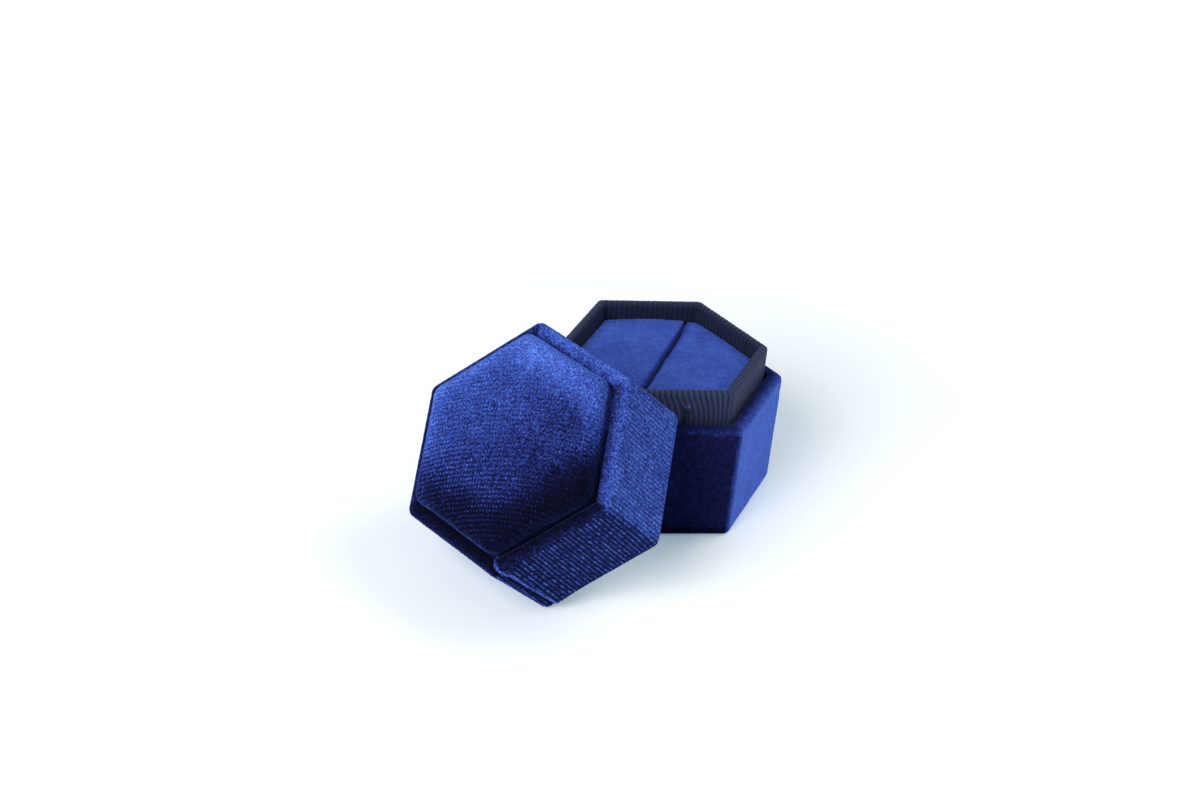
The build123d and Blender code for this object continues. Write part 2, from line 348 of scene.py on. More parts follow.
def knit_stitches(tree, cloth):
    """Rows of stitches: 1 on a stitch, 0 beside it in its row and -0.5 between the rows."""
    sway = noise(tree, cloth, scale=0.35, detail=1.0)
    axes = add(tree, "ShaderNodeSeparateXYZ", {0: cloth})
    waves = []
    for axis, pitch in (("X", KNIT_ROW), ("Y", KNIT_STITCH)):
        place = math_node(tree, "MULTIPLY_ADD", sway, KNIT_SWAY, axes.outputs[axis])
        wave = math_node(tree, "SINE", math_node(tree, "MULTIPLY", place, 2 * math.pi / pitch))
        waves.append(math_node(tree, "MULTIPLY_ADD", wave, 0.5, 0.5))
    rows = math_node(tree, "MULTIPLY_ADD", waves[0], 0.5, -0.5)
    return math_node(tree, "ADD", math_node(tree, "MULTIPLY", *waves), rows)


def velvet(name, grain, grain_strength, patch_strength, bump, sheen, tint):
    """Pile cloth: its shade is the nap and the painted light and shade stored on the mesh, broken up by
    stitches, tufts and patches.
    """
    material, tree, shader = nodes_of(name)
    cloth = stored(tree, "cloth", "Vector")
    stitches = math_node(tree, "MULTIPLY", knit_stitches(tree, cloth), stored(tree, "knit"))
    stitches = math_node(tree, "MULTIPLY", stitches, KNIT_SHADE)
    tufts = noise(tree, cloth, scale=grain, detail=3.0, roughness=0.6)
    brushed = noise(tree, cloth, scale=0.16, detail=3.0)
    shade = stored(tree, "nap")
    for part in (stitches, centred(tree, tufts, grain_strength), centred(tree, brushed, patch_strength)):
        shade = math_node(tree, "ADD", shade, part)
    values = {
        "Roughness": 0.9,
        "Specular IOR Level": 0.02,
        "Sheen Weight": sheen,
        "Sheen Roughness": 0.35,
        "Sheen Tint": (*tint, 1),
    }
    height = math_node(tree, "ADD", tufts, stitches)
    finish_shader(tree, shader, ramp(tree, shade, BLUE), height, bump, depth=0.2, values=values)
    return material


def ribbon_material():
    """Grosgrain: light on the ribs stored on the mesh, with fine threads across them."""
    material, tree, shader = nodes_of("grosgrain")
    stretched = {"Vector": stored(tree, "cloth", "Vector"), "Scale": (0.9, 5.0, 1.0)}
    threads = noise(tree, add(tree, "ShaderNodeMapping", stretched).outputs[0], scale=1.4, detail=3.0)
    rib = math_node(tree, "MULTIPLY_ADD", stored(tree, "rib"), 0.75, -0.25)
    shade = math_node(tree, "MULTIPLY_ADD", threads, 0.5, rib)
    stops = [(0.0, (0.0016, 0.0022, 0.0060)), (0.5, (0.0125, 0.0175, 0.050)), (1.0, (0.058, 0.080, 0.190))]
    values = {
        "Roughness": 0.7,
        "Specular IOR Level": 0.15,
        "Sheen Weight": 0.1,
        "Sheen Roughness": 0.4,
        "Sheen Tint": (0.30, 0.40, 0.75, 1),
    }
    finish_shader(tree, shader, ramp(tree, shade, stops), threads, bump=0.35, depth=0.12, values=values)
    return material


def board_material(name, dark, light):
    """Pressed board with flecks of fibre."""
    material, tree, shader = nodes_of(name)
    flecks = noise(tree, add(tree, "ShaderNodeTexCoord").outputs["Object"], scale=900.0, detail=4.0)
    colour = ramp(tree, flecks, [(0.3, dark), (0.7, light)])
    finish_shader(tree, shader, colour, flecks, bump=0.2, depth=0.1, values={"Roughness": 0.9})
    return material


DEEP_TINT, PALE_TINT = (0.13, 0.23, 1.0), (0.16, 0.32, 1.0)
lid_velvet = velvet(
    "lid_velvet", grain=2.6, grain_strength=1.5, patch_strength=0.20, bump=0.6, sheen=0.55, tint=DEEP_TINT
)
base_velvet = velvet(
    "base_velvet", grain=2.2, grain_strength=0.45, patch_strength=0.16, bump=0.3, sheen=0.55, tint=DEEP_TINT
)
pad_velvet = velvet(
    "pad_velvet", grain=2.4, grain_strength=0.22, patch_strength=0.16, bump=0.25, sheen=0.5, tint=PALE_TINT
)
grosgrain = ribbon_material()
greyboard = board_material("greyboard", dark=(0.33, 0.31, 0.28), light=(0.47, 0.45, 0.42))
white_card = board_material("white_card", dark=(0.66, 0.64, 0.58), light=(0.80, 0.78, 0.73))

for node, made in frame["nodes"].items():
    made.data.materials.clear()
    made.data.materials.append(white_card if node.endswith("card") else greyboard)


def finish_piece(made, material, body, slot, *nodes):
    """Gives a piece its material and its body, and hides the CAD nodes that it replaces. The slot is not used.
    """
    made.data.materials.append(material)
    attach(made, body)
    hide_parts(*nodes)
    return made


def closed_band(name, points, place=HERE):
    """A piece from rows of points round it, the last row closing on the first."""
    return new_object(name, points.reshape(-1, 3), ring_faces(*points.shape[:2], True), place)


def both_faces(around, skin, inside, apothems, radii, lift):
    """Points of a cloth's outer face, lifted, and of its inner one. The radii go with the apothems."""
    outer = around.surface(skin, np.interp(skin[:, 0], apothems, radii), lift)
    return np.concatenate([outer, around.surface(inside, np.interp(inside[:, 0], apothems, radii))])


# Velvet bands round the walls

CORNER_LINING, CORNER_VELVET = 0.6, 2.0
RIM_ROLL, LINING_ROLL, VELVET_DEPTH = 1.2, 0.85, 0.8
LAP_LENGTH, LAP_INSET, LAP_REACH = 9.0, 1.1, 1.8
# The lap's folded edge takes a painted highlight, and the crease beside it a dent and painted shade
LAP_EDGE, LAP_EDGE_WIDTH, CREASE_BEFORE, CREASE_AFTER, CREASE_DEPTH = 0.7, 0.36, 0.9, 0.12, 0.25
FOLD_SHARPNESS, FOLD_LIMIT = 5, 60
RIB_PITCH, RIB_LEAN, RIB_SWAY, RIB_DRIFT, RIB_SHARPNESS = 0.91, -0.065, 0.16, 0.2, 1.2
TUFT_LIFT, RIB_LIFT, WALL_SWELL, RIM_SWELL, MITRE_DEPTH = 0.03, 0.2, 0.05, 0.12, 0.18
MITRE_WIDTH = math.radians(9)

# Painted light and shade on the bands, the tone of their tufts, how much their stitches show and the level of
# cloth out of sight
RIM_LIKE_WALL, RIM_OUTSIDE_LIGHT, RIM_INSIDE_SHADE, FOOT_BOUNCE_LIGHT = 0.45, 0.08, 0.21, 1.5
TUFT_SHADE, WALL_TUFT_SHADE = 0.08, 0.06
CREST_SHADE, FURROW_SHADE, DASH_SHADE, DEEP_DASH_SHADE = 0.76, 0.40, 0.75, 0.35
LAP_EDGE_HIGHLIGHT, CREASE_SHADE, MITRE_SHADE = 0.50, 0.45, 0.12
WALL_KNIT, HIDDEN_NAP = 0.3, 0.4

# Steps between points: down a turn-in, over a rim and along the wall
TURN_IN_STEP, RIM_STEP, WALL_STEP = 1.2, 0.25, 0.3

# Finer steps along a flat and round the corner after it: where ribs are stronger than these, and at the lap
CLEAR_RIBS, DEEP_RIBS = 0.3, 0.7
CLEAR_RIB_STEPS, DEEP_RIB_STEPS, LAP_STEPS = (0.2, 0.25), (0.17, 0.2), (0.3, 0.09)


def lap_lift(around, flat, rise, end):
    """How far the folded end of the band stands proud over a flat, with its edge and the crease beside it.

    Along each row of the cloth the end is cut at the given distance past the corner where the flat starts.
    """
    facing = HALF_TURN + flat * TURN
    radius, end = CORNER_VELVET, end[:, None]
    straight = around.on_flat(flat)
    bend = around.bent & (around.flat == (flat - 1) % SIDES)
    near = straight | bend
    away = np.where(bend, (facing if flat else facing + SIDES * TURN) - around.angle, 0)
    along = (around.place + 1) * (VELVET - radius) * TAN_HALF
    run = np.where(straight, along, -radius * np.sin(away))[None]
    past = run - end
    edge = bell(past - LAP_EDGE, LAP_EDGE_WIDTH) * near
    crease = bell(past, np.where(past < 0, CREASE_BEFORE, CREASE_AFTER)) * near
    slope = rise * np.clip(1 - (run + radius * TAN_HALF) / LAP_LENGTH, 0, 1) * smooth(-0.1, 0.5, past)
    top = (radius + rise) / np.cos(away)[None]
    cut = np.maximum(-end, 0) / np.maximum(np.sin(away), TOLERANCE)[None]
    nearer = np.exp(-top * FOLD_SHARPNESS) + np.exp(-np.minimum(cut, FOLD_LIMIT) * FOLD_SHARPNESS)
    folded = np.maximum(-np.log(nearer) / FOLD_SHARPNESS, radius) - radius
    return np.where(straight, slope, np.where(bend, folded, 0)) - CREASE_DEPTH * crease, edge, crease


class WallBand:
    """Velvet band, rolled over both rims of a wall, its ends lapped at a corner and ribs down its flats."""

    def __init__(self, height, low_turn_in, high_turn_in, lap_flat, lap_rise, ribbed, seed):
        """Ribbed is how strong the ribs are on each flat."""
        self.height, self.ribbed, self.seed = height, ribbed, seed
        low, high = low_turn_in, height - high_turn_in
        self.skin = rounded_path(
            [(LINING, high), (LINING, height), (VELVET, height), (VELVET, 0), (LINING, 0), (LINING, low)],
            [LINING_ROLL, RIM_ROLL, RIM_ROLL, LINING_ROLL],
            [TURN_IN_STEP, RIM_STEP, WALL_STEP, RIM_STEP, TURN_IN_STEP],
        )
        bottom, top = VELVET_DEPTH, height - VELVET_DEPTH
        inner, outer = BOARD_INNER, BOARD
        self.inside = np.array(
            [(inner, low), (inner, bottom), (outer, bottom), (outer, top), (inner, top), (inner, high)]
        )
        steps = {}
        for k, strength in enumerate(ribbed):
            if strength > CLEAR_RIBS:
                steps[k] = DEEP_RIB_STEPS if strength > DEEP_RIBS else CLEAR_RIB_STEPS
        steps[(lap_flat - 1) % SIDES] = LAP_STEPS
        self.around = Round(VELVET, CORNER_VELVET, WALL_STEP, steps)
        self.run = path_lengths(self.skin)
        self.cloth = flat_cloth(self.around.distance[None], self.run[:, None], seed)
        self.tufts = pile(self.cloth, seed, 1)
        self.set_zones()
        self.set_ribs()
        self.set_lap(lap_flat, lap_rise)

    def set_zones(self):
        """Where the cloth is upright, outside, on the flat of the wall, on a rim and at a rim's corners."""
        reach, level = self.skin[:, :1], self.skin[:, 1:]
        self.upright = reach > VELVET - RIM_ROLL / 2
        self.outside = smooth(LINING - 0.1, LINING + 0.9, reach)
        self.wall = smooth(0.3, 1.3, level) * smooth(0.3, 1.3, self.height - level) * self.upright
        self.rim = self.outside * ~self.upright
        into_mitre = (self.around.angle - HALF_TURN) % TURN - HALF_TURN
        self.mitre = bell(into_mitre, MITRE_WIDTH) * self.around.bent * self.rim

    def set_ribs(self):
        """Strength of the ribs, and the crest of each from 0 to 1."""
        sway = noise3(self.cloth * (0.35, 0.10, 1), self.seed + 2)
        pitch = self.around.length / round(self.around.length / RIB_PITCH)
        phase = (self.cloth[..., 0] + RIB_LEAN * self.skin[:, 1:] + RIB_SWAY * sway) / pitch
        self.crest = (1 - np.abs(2 * (phase - np.floor(phase)) - 1)) ** RIB_SHARPNESS
        self.ribs = self.around.blend(self.ribbed, RIB_DRIFT) * self.wall

    def set_lap(self, flat, rise):
        """The lapped end, cut back over the upper rim and pressed flat at the lower one."""
        level = self.skin[:, 1]
        below_rim = np.argmax(self.upright[:, 0] & (level < self.height - LAP_REACH))
        over_rim = self.run[below_rim] - self.run
        end = LAP_INSET - LAP_REACH * smooth(0, 2 * LAP_REACH, over_rim)
        proud, edge, crease = (part * self.outside for part in lap_lift(self.around, flat, rise, end))
        self.proud, self.edge, self.crease = proud * smooth(-0.5, 2.5, level)[:, None], edge, crease

    def points(self):
        """Points of the band, lifted by tufts, ribs, the lap and uneven glue, and drawn in at the corners."""
        soft = 0.45 + 0.55 * smooth(-0.6, 0.5, noise3(self.cloth * (0.5, 0.16, 1), self.seed + 3))
        lift = TUFT_LIFT * self.tufts * (1 + self.wall) + RIB_LIFT * self.ribs * (self.crest - 0.5) * soft
        lift += self.proud - MITRE_DEPTH * self.mitre
        lift += WALL_SWELL * noise3(self.cloth * 0.22, self.seed + 4) * self.wall
        lift += RIM_SWELL * noise3(self.cloth * 0.4, self.seed + 6) * self.rim
        apothems, radii = (LINING, VELVET), (CORNER_LINING, CORNER_VELVET)
        return both_faces(self.around, self.skin, self.inside, apothems, radii, lift)

    def nap(self, painted_flat_light, painted_rim_light, painted_foot_shade):
        """Painted light and shade of the pile: a level for each flat, for the upper rim above it and for the
        foot below it, with the tone of the tufts, painted highlights on the ribs and the lap's edge, and
        painted shade in the crease and the mitres.
        """
        nap, rim, foot = (self.around.blend(s)[None] for s in (painted_flat_light, painted_rim_light, painted_foot_shade))
        level = self.skin[:, 1:]
        # Painted light on each rim's outer roll, taken partly from the wall below it, and painted shade
        # towards its inner edge
        out = np.interp(self.skin[:, :1], (LINING, VELVET), (0, 1))
        rim = rim + RIM_LIKE_WALL * out * (nap - rim) + RIM_OUTSIDE_LIGHT * out - RIM_INSIDE_SHADE * (1 - out)
        on_rim = smooth(self.height / 3, self.height / 2, level) * (1 - self.wall)
        # Painted shade in a band above the foot, and painted light from the floor on the lip under it
        low = smooth(2.8, 2.0, level) - FOOT_BOUNCE_LIGHT * smooth(0.6, 0.1, level)
        nap = nap * (1 - on_rim) + rim * on_rim - foot * low
        nap = nap + (TUFT_SHADE + WALL_TUFT_SHADE * self.wall) * self.tufts
        # Painted highlight on the crests of the ribs, broken into dashes, and painted shade in the furrows
        # between them
        dashes = noise3(self.cloth * (2.6, 1.5, 1), self.seed + 5) * self.crest
        dash_shade = DASH_SHADE - DEEP_DASH_SHADE * self.ribs
        rib_light_and_shade = CREST_SHADE * self.crest - FURROW_SHADE + dash_shade * dashes
        # Painted highlight along the lap's folded edge, in place of the ribs there
        nap = nap + self.ribs * rib_light_and_shade * (1 - self.edge) + LAP_EDGE_HIGHLIGHT * self.edge * (1 - self.crease)
        # Painted shade in the crease by the lap's end and in the mitres at the rim's corners
        return nap - CREASE_SHADE * self.crease - MITRE_SHADE * self.mitre

    def knit(self):
        """How much the stitches show: on a ribbed band, and between its ribs."""
        shown = self.wall * (1 - self.ribs) if max(self.ribbed) > 0 else 0
        return np.broadcast_to(WALL_KNIT * shown, self.tufts.shape)


def wall_band(name, place, painted_flat_light, painted_rim_light, painted_foot_shade, **form):
    """The band as a piece, with nothing of it below the floor."""
    band = WallBand(**form)
    around, run = band.around, band.run
    made = closed_band(name, band.points(), place)
    move_points(made, np.maximum(points_of(made.data) / MM, (-np.inf, -np.inf, 0)))
    hidden = np.full((len(band.inside), len(around.flat)), HIDDEN_NAP)
    nap = np.concatenate([band.nap(painted_flat_light, painted_rim_light, painted_foot_shade), hidden])
    set_values(made, nap=nap.ravel(), knit=np.concatenate([band.knit(), 0 * hidden]).ravel())
    set_values(made, "CORNER", cloth=cloth_corners(around, run, len(band.inside), band.seed))
    made.data.flip_normals()
    return made


# Painted light and shade, flat by flat: each wall, the rim above it and the foot below it get a level of
# light, lighter where the lamps and grazing sheen fall, darker on the flats that face down
lid_wall = wall_band(
    "lid_wall_cover",
    LEAN,
    height=LID,
    low_turn_in=LINER_TOP,
    high_turn_in=3.6,
    lap_flat=5,
    lap_rise=1.1,
    ribbed=(0.34, 0.4, 0.3, 0.3, 0.6, 1.1),
    painted_flat_light=(0.63, 0.50, 0.50, 0.50, 0.32, 0.26),
    painted_rim_light=(0.48, 0.70, 0.28, 0.10, -0.06, 0.06),
    painted_foot_shade=(0.0,) * SIDES,
    seed=11,
)
finish_piece(lid_wall, lid_velvet, "lid", "velvet", "lid_wall_velvet")
# Painted light and shade as on the lid: the front flat darker, in the lid's shadow and seen face on, and the
# flat right of it lighter with painted sheen
base_wall = wall_band(
    "base_wall_cover",
    HERE,
    height=BASE_WALL,
    low_turn_in=3.0,
    high_turn_in=12.0,
    lap_flat=2,
    lap_rise=0.8,
    ribbed=(0.0,) * SIDES,
    painted_flat_light=(0.55, 0.40, 0.45, 0.40, 0.22, 0.84),
    painted_rim_light=(0.40, 0.40, 0.40, 0.40, 0.32, 0.38),
    painted_foot_shade=(0.0, 0.0, 0.0, 0.0, 0.18, 0.0),
    seed=23,
)
finish_piece(base_wall, base_velvet, "base", "velvet", "base_wall_velvet")

# Collar ribbon, with its ribs across its length

GROSGRAIN_PITCH, GROSGRAIN_LIFT, RIB_SLANT = 1.26, 0.09, 1.9
RIBBON_TUCK, RIBBON_TURN_IN, RIBBON_LAP = 4.0, 9.0, 6
RIBBON_DEPTH, RIBBON_ROLL, RIBBON_CORNER, RIBBON_INNER_CORNER = 0.45, 0.95, 1.4, 0.6
RIBBON_STEP, POINTS_PER_RIB = 0.35, 8

# The ribbon's end on the front: how far right of the middle it is, and the top and bottom of the lighter line
# and darker patch on it
RIBBON_JOINT, RIBBON_END, RIBBON_END_FOOT = 0.15, 31.0, 28.4


def past_joint(around):
    """Distance round from the ribbon's lapped end, which is on the front flat."""
    front = around.on_flat(FRONT)
    beside_middle = around.core[front, 0] * (RIBBON - RIBBON_CORNER)
    return around.distance - np.interp(RIBBON_JOINT, beside_middle, around.distance[front])


def collar_ribbon():
    """Ribbon over the collar, outside, over its top and down inside, with its lapped end on the front: a
    lighter line and a darker patch on the end, and painted shade beside its edge.
    """
    bottom, turned_in = BASE_WALL - RIBBON_TUCK, COLLAR_TOP - RIBBON_TURN_IN
    skin = rounded_path(
        [(RIBBON, bottom), (RIBBON, COLLAR_TOP), (RIBBON_INNER, COLLAR_TOP), (RIBBON_INNER, turned_in)],
        [RIBBON_ROLL, RIBBON_ROLL],
        [RIBBON_STEP, RIM_STEP, RIBBON_STEP],
    )
    inner, outer, board_top = COLLAR_INNER, COLLAR_BOARD, COLLAR_TOP - RIBBON_DEPTH
    inside = np.array([(inner, turned_in), (inner, board_top), (outer, board_top), (outer, bottom)])
    around = Round(RIBBON, RIBBON_CORNER, GROSGRAIN_PITCH / POINTS_PER_RIB)
    run = path_lengths(skin)
    phase = around.distance / around.length * round(around.length / GROSGRAIN_PITCH)
    crest = np.sqrt(np.maximum(0, 1 - (2 * (phase - np.floor(phase)) - 1) ** 2))[None]
    wander = 0.03 * noise3(flat_cloth(around.distance[None], run[:, None], 0) * (2.0, 0.4, 1), 41)

    height, outside, joint = skin[:, 1:], skin[:, :1] > RIBBON - 0.1, past_joint(around)
    on_lap = smooth(-0.1, 0.1, joint)
    face = outside * smooth(RIBBON_END + 0.3, RIBBON_END - 0.3, height)
    lapped = 0.3 * face * on_lap * smooth(RIBBON_LAP, 0, joint)
    lift = -(GROSGRAIN_LIFT * (crest - 0.75) + wander + lapped)
    apothems, radii = (RIBBON_INNER, RIBBON), (RIBBON_INNER_CORNER, RIBBON_CORNER)
    points = both_faces(around, skin, inside, apothems, radii, lift)
    straight = COLLAR_TOP - RIBBON_ROLL
    drop = np.clip((straight - height) / (straight - BASE_WALL), 0, 1)
    slant = RIB_SLANT * (1 - (1 - drop) ** 2) * outside * (1 - around.place**2)
    points[: len(skin), :, :2] += slant[..., None] * around.along
    made = closed_band("collar_ribbon_wrap", points)

    # Painted light on the crests of the ribs, and painted shade all down the inside of the collar
    within = np.concatenate([smooth(19.6, 18.4, skin[:, 0]), np.ones(len(inside))])[:, None]
    shade = crest * (1 - 0.36 * within) - 0.02 * within
    end = outside * on_lap * smooth(1.7, 1.4, joint)
    below_end = smooth(RIBBON_END - 0.3, RIBBON_END - 0.7, height)
    above_foot = smooth(RIBBON_END_FOOT, RIBBON_END_FOOT + 1, height)
    # A lighter line along the top of the end and a darker patch below it, and painted shade beside the lapped
    # end's edge
    end_light_and_dark = 0.4 * end * bell(height - RIBBON_END, 0.3) - 0.22 * end * below_end * above_foot
    shade[: len(skin)] += end_light_and_dark - 0.6 * face * bell(joint + 0.12, 0.2)
    set_values(made, rib=shade.ravel())
    set_values(made, "CORNER", cloth=cloth_corners(around, run, len(inside), 0))
    return made


finish_piece(collar_ribbon(), grosgrain, "base", "ribbon", "collar_ribbon")

# Panels wrapped in velvet, out of sight: under the base and inside the lid

PANEL_CORNER, PANEL_STEP, PANEL_EDGE_STEP, PANEL_MIDDLE = 0.6, 0.7, 0.4, 0.02
LINING_DEPTH, FLOOR_TURN_IN = 0.5, 4.0


def wrapped_panel(name, skin, inside, place, seed):
    """Cloth over a hexagonal panel. Both paths start at its middle."""
    around = Round(PANEL, PANEL_CORNER, PANEL_STEP)
    cloth = flat_cloth(*(around.core[None, :, axis] * skin[:, :1] for axis in (0, 1)), seed)
    tufts = noise3(cloth * (1.2, 1.2, 1), seed)
    outer = around.surface(skin, np.minimum(PANEL_CORNER, skin[:, 0] / 2), 0.04 * (tufts + 1))
    back = inside[::-1]
    points = np.concatenate([outer, around.surface(back, np.minimum(PANEL_CORNER, back[:, 0] / 2))])
    made = closed_band(name, points, place)
    hidden = np.full((len(inside), len(around.flat)), HIDDEN_NAP)
    nap = np.concatenate([0.5 + 0.12 * tufts, hidden])
    inner_cloth = np.broadcast_to(cloth[-1:], (*hidden.shape, 3))
    cloth = np.concatenate([cloth, inner_cloth])
    set_values(made, nap=nap.ravel(), knit=np.zeros(nap.size), cloth=cloth.reshape(-1, 3))
    return made


def floor_cover():
    end, bottom, top = PANEL - FLOOR_TURN_IN, VELVET_DEPTH, FLOOR_TOP - LINING_DEPTH
    skin = rounded_path(
        [(PANEL_MIDDLE, 0), (PANEL, 0), (PANEL, FLOOR_TOP), (end, FLOOR_TOP)],
        [0.5, 0.4],
        [PANEL_STEP, PANEL_EDGE_STEP, PANEL_STEP],
    )
    inside = np.array([(PANEL_MIDDLE, bottom), (PANEL_BOARD, bottom), (PANEL_BOARD, top), (end, top)])
    return wrapped_panel("base_floor_cover", skin, inside, HERE, 31)


def liner_cover():
    skin = rounded_path(
        [(PANEL_MIDDLE, LINER_BOTTOM), (PANEL, LINER_BOTTOM), (PANEL, LINER_TOP)],
        [0.4],
        [PANEL_STEP, PANEL_EDGE_STEP],
    )
    bottom = LINER_BOTTOM + LINING_DEPTH
    inside = np.array([(PANEL_MIDDLE, bottom), (PANEL_BOARD, bottom), (PANEL_BOARD, LINER_TOP)])
    return wrapped_panel("lid_liner_cover", skin, inside, LEAN, 37)


finish_piece(floor_cover(), base_velvet, "base", "velvet", "base_floor_velvet")
finish_piece(liner_cover(), pad_velvet, "lid", "pad_velvet", "lid_liner_velvet")

# Padded pieces, swelled by a cloth simulation

SWELL_SCALE, SWELL_FRAMES, SWELL_GROWTH = 20.0, 20, 0.02
FACE_CORNER, FACE_MIDDLE, FACE_STEP = 2.5, 0.3, 0.8
CROWN_POINTS, CROWN_SKIPPED = 24, 4


def hull_of(node):
    """Outer form of a CAD pad as a closed mesh, in millimetres."""
    shape = bmesh.new()
    for vertex in frame["nodes"][node].data.vertices:
        shape.verts.new(vertex.co / MM)
    found = bmesh.ops.convex_hull(shape, input=shape.verts)
    inner = [g for g in found["geom_interior"] if isinstance(g, bmesh.types.BMVert)]
    bmesh.ops.delete(shape, geom=inner, context="VERTS")
    return shape


def face_form():
    """The lid's face pad in its own frame: straight in the wall, drawn in at the rim and crowned above."""
    radius = ((FACE_BULGE**2) + (FACE_TOP - FACE_EDGE) ** 2) / (2 * (FACE_TOP - FACE_EDGE))
    reaches = np.linspace(FACE_BULGE, FACE_MIDDLE, CROWN_POINTS)
    crown = [(a, FACE_TOP - radius + math.sqrt(radius**2 - a * a)) for a in reaches]
    corners = [
        (FACE_MIDDLE, LINER_TOP),
        (PANEL, LINER_TOP),
        (PANEL, FACE_HOLD),
        (FACE_WAIST, FACE_WAIST_HEIGHT),
        (FACE_BULGE, FACE_BULGE_HEIGHT),
        crown[0],
        *crown[CROWN_SKIPPED:],
    ]
    smoothed = [0.001] * (CROWN_POINTS - CROWN_SKIPPED)
    outline = rounded_path(corners, [0.3, 0.3, 0.25, 0.6, 1.4] + smoothed, [FACE_STEP] * (len(corners) - 1))
    around = Round(FACE_BULGE, FACE_CORNER, 0.5)
    points = around.surface(outline, np.minimum(FACE_CORNER, outline[:, 0] / 2))
    rows, columns = points.shape[:2]
    faces = ring_faces(rows, columns, False)
    faces += [list(range(columns))[::-1], list(range((rows - 1) * columns, rows * columns))]
    shape = bmesh.new()
    made = [shape.verts.new(p) for p in points.reshape(-1, 3)]
    for face in faces:
        shape.faces.new([made[i] for i in face])
    bmesh.ops.recalc_face_normals(shape, faces=shape.faces)
    return shape


def apply_modifiers(made):
    """Gives the object the mesh that its modifiers make, and takes the modifiers off."""
    shown = bpy.data.meshes.new_from_object(made.evaluated_get(bpy.context.evaluated_depsgraph_get()))
    made.modifiers.clear()
    made.data = shown


def simulate(made, held_below, hold, pressure):
    """Blows the object up as cloth: held fast below a height, and by the given hold above it."""
    low = points_of(made.data)[:, 2] / (MM * SWELL_SCALE) < held_below
    held = made.vertex_groups.new(name="held")
    held.add(np.flatnonzero(low).tolist(), 1.0, "REPLACE")
    held.add(np.flatnonzero(~low).tolist(), hold, "REPLACE")
    settings = made.modifiers.new("cloth", "CLOTH").settings
    settings.use_pressure, settings.uniform_pressure_force = True, pressure
    settings.vertex_group_mass = held.name
    settings.effector_weights.gravity = 0
    settings.shrink_min = -SWELL_GROWTH
    for number in range(1, SWELL_FRAMES + 1):
        bpy.context.scene.frame_set(number)
    apply_modifiers(made)
    bpy.context.scene.frame_set(1)
    made.vertex_groups.clear()


def swelled(name, shape, voxel, held_below, hold, pressure, cap, spread=1.0):
    """A pad whose cloth swells from the form by up to the cap, held by the foam and fast below a height.

    Of the swelling to the sides only the spread is kept, because the wall's rim holds the pad in. It is
    simulated larger than life, at about a metre, which the solver's own values suit.
    """
    bmesh.ops.scale(shape, vec=(SWELL_SCALE * MM,) * 3, verts=shape.verts)
    mesh = bpy.data.meshes.new(name)
    shape.to_mesh(mesh)
    shape.free()
    made = link(bpy.data.objects.new(name, mesh))
    remesh = made.modifiers.new("remesh", "REMESH")
    remesh.mode, remesh.voxel_size = "VOXEL", voxel * MM * SWELL_SCALE
    apply_modifiers(made)
    start = points_of(made.data) / (MM * SWELL_SCALE)
    moved = start
    simulate(made, held_below, hold, pressure)
    moved = points_of(made.data) / (MM * SWELL_SCALE)
    step = (moved - start) * (spread, spread, 1)
    far = np.linalg.norm(step, axis=1, keepdims=True)
    move_points(made, start + step * np.minimum(1, cap / np.maximum(far, TOLERANCE)))
    finer = made.modifiers.new("finer", "SUBSURF")
    finer.levels = finer.render_levels = 1
    apply_modifiers(made)
    made.data.shade_smooth()
    return made


ROW_TURN, ROW_BOW = math.radians(28), 0.006
FACE_SHIFT, FACE_DROP = np.array([-0.95, 0.2, 0]), 0.35
# Painted light on the face growing towards the upper left, and the weights of its zones of painted light and
# shade; the tufts are the pile's own tone
FACE_NAP, FACE_LIGHT_SLOPE = 0.40, 0.009
FACE_LIGHT_AND_TUFTS = {"brushed_lit_patch": 0.21, "left": 0.15, "right": 0.14, "low": -0.28, "under": -0.25, "tufts": 0.08}


